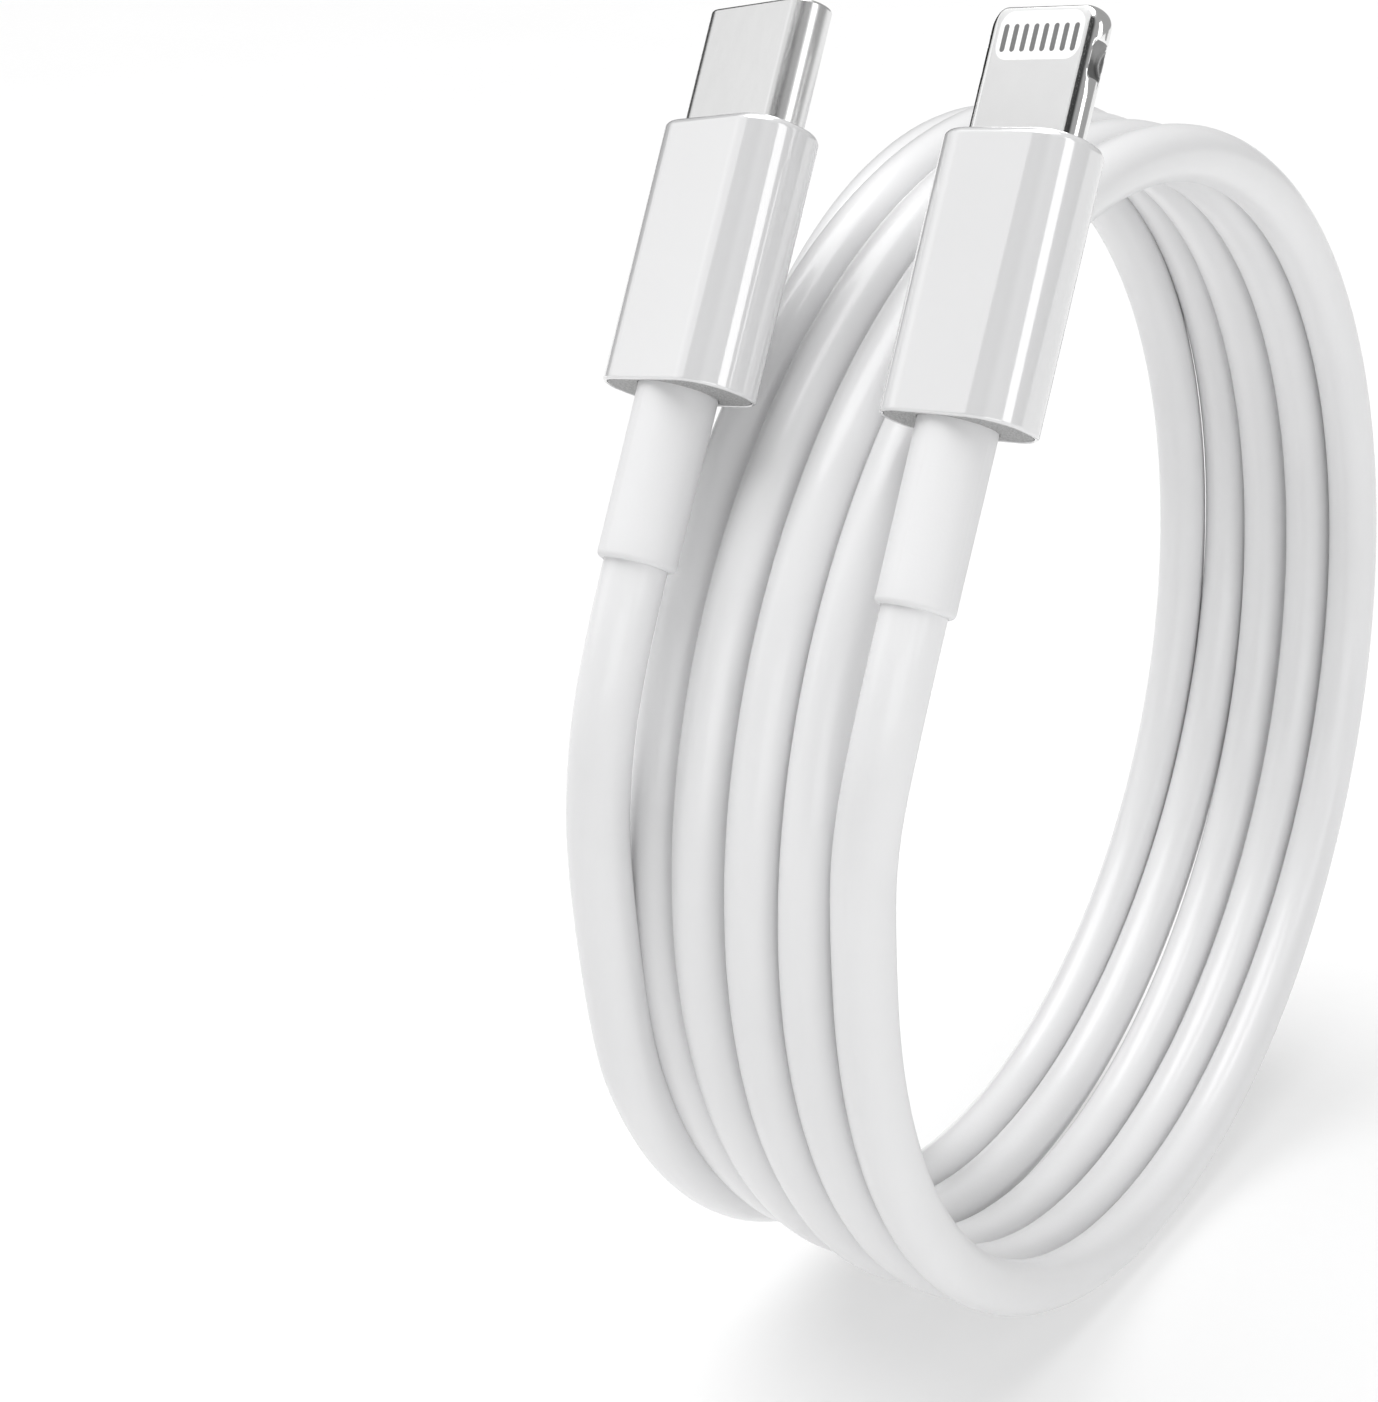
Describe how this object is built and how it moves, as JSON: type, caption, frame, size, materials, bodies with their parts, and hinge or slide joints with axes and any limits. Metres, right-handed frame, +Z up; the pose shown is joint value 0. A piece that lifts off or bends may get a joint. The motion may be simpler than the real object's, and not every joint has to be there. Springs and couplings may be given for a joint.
{
  "type": "charging cable",
  "caption": "Coiled charging cable with a flat contact-tab phone plug and a reversible charger plug, each in a glossy oblong housing with a soft strain relief.",
  "frame": {"origin": "middle of the box in X and Y, at the level the coil stands on", "axes": "+Z up; the coil's axis lies along Y; both plugs rise on the -X side, the phone plug towards -Y"},
  "size_m": [0.0726, 0.0248, 0.0799],
  "materials": {
    "cord": "smooth satin elastomer",
    "housing": "glossy",
    "rear_cap": "fine matt texture",
    "strain_relief": "satin",
    "braid": "woven tinned copper",
    "tin_steel": "tinned",
    "filler": "waxy",
    "board": "solder mask",
    "chip": "matt",
    "ceramic": "matt",
    "wire": "insulated",
    "solder": "bright",
    "tab_steel": "fine bead-blasted faces, polished edges",
    "panel": "smooth",
    "contact": "plated",
    "shell_steel": "drawn, satin",
    "gilt": "gold plated"
  },
  "bodies": {
    "cable": {"charger_plug_board_capacitors": "ceramic", "charger_plug_circuit_board": "board", "charger_plug_contact_carrier": "chip", "charger_plug_contact_tails_front": "gilt", "charger_plug_contact_tails_rear": "gilt", "charger_plug_control_chip": "chip", "charger_plug_cord_core": "braid", "charger_plug_cord_jacket_end": "cord", "charger_plug_crimp_ring": "tin_steel", "charger_plug_ground_springs_front": "tin_steel", "charger_plug_ground_springs_rear": "tin_steel", "charger_plug_housing": "housing", "charger_plug_inner_mould": "filler", "charger_plug_mid_plate": "tin_steel", "charger_plug_rear_cap": "rear_cap", "charger_plug_shell": "shell_steel", "charger_plug_shield_front": "tin_steel", "charger_plug_shield_rear": "tin_steel", "charger_plug_solder_joints": "solder", "charger_plug_strain_relief": "strain_relief", "charger_plug_wires": "wire", "cord_charger_lead": "cord", "cord_coil": "cord", "cord_phone_lead": "cord", "phone_plug_board_capacitors": "ceramic", "phone_plug_circuit_board": "board", "phone_plug_contact_core": "chip", "phone_plug_contact_panel_front": "panel", "phone_plug_contact_panel_rear": "panel", "phone_plug_contacts_front": "contact", "phone_plug_contacts_rear": "contact", "phone_plug_control_chip": "chip", "phone_plug_cord_core": "braid", "phone_plug_cord_jacket_end": "cord", "phone_plug_crimp_ring": "tin_steel", "phone_plug_housing": "housing", "phone_plug_inner_mould": "filler", "phone_plug_rear_cap": "rear_cap", "phone_plug_shield_front": "tin_steel", "phone_plug_shield_rear": "tin_steel", "phone_plug_solder_joints": "solder", "phone_plug_strain_relief": "strain_relief", "phone_plug_tab_frame": "tab_steel", "phone_plug_wires": "wire"},
    "finger_row_front": {"charger_plug_contact_fingers_front": "gilt"},
    "finger_row_rear": {"charger_plug_contact_fingers_rear": "gilt"},
    "side_latch_left": {"charger_plug_latch_left": "tin_steel"},
    "side_latch_right": {"charger_plug_latch_right": "tin_steel"}
  },
  "joints": [
    {"name": "finger_row_front_flex", "type": "hinge", "parent": "cable", "child": "finger_row_front", "pos_m": [-0.02071, 0.00789, 0.07469], "axis": [-0.2657, -0.9499, 0.1649], "range_deg": [0, 4], "stiffness_Nm_per_rad": 0.05},
    {"name": "finger_row_rear_flex", "type": "hinge", "parent": "cable", "child": "finger_row_rear", "pos_m": [-0.01992, 0.00759, 0.07425], "axis": [0.2657, 0.9499, -0.1649], "range_deg": [0, 4], "stiffness_Nm_per_rad": 0.05},
    {"name": "side_latch_left_flex", "type": "hinge", "parent": "cable", "child": "side_latch_left", "pos_m": [-0.0194, 0.01102, 0.0739], "axis": [-0.8324, 0.3123, 0.4577], "range_deg": [0, 3], "stiffness_Nm_per_rad": 0.05},
    {"name": "side_latch_right_flex", "type": "hinge", "parent": "cable", "child": "side_latch_right", "pos_m": [-0.02123, 0.00447, 0.07504], "axis": [0.8324, -0.3123, -0.4577], "range_deg": [0, 3], "stiffness_Nm_per_rad": 0.05}
  ]
}
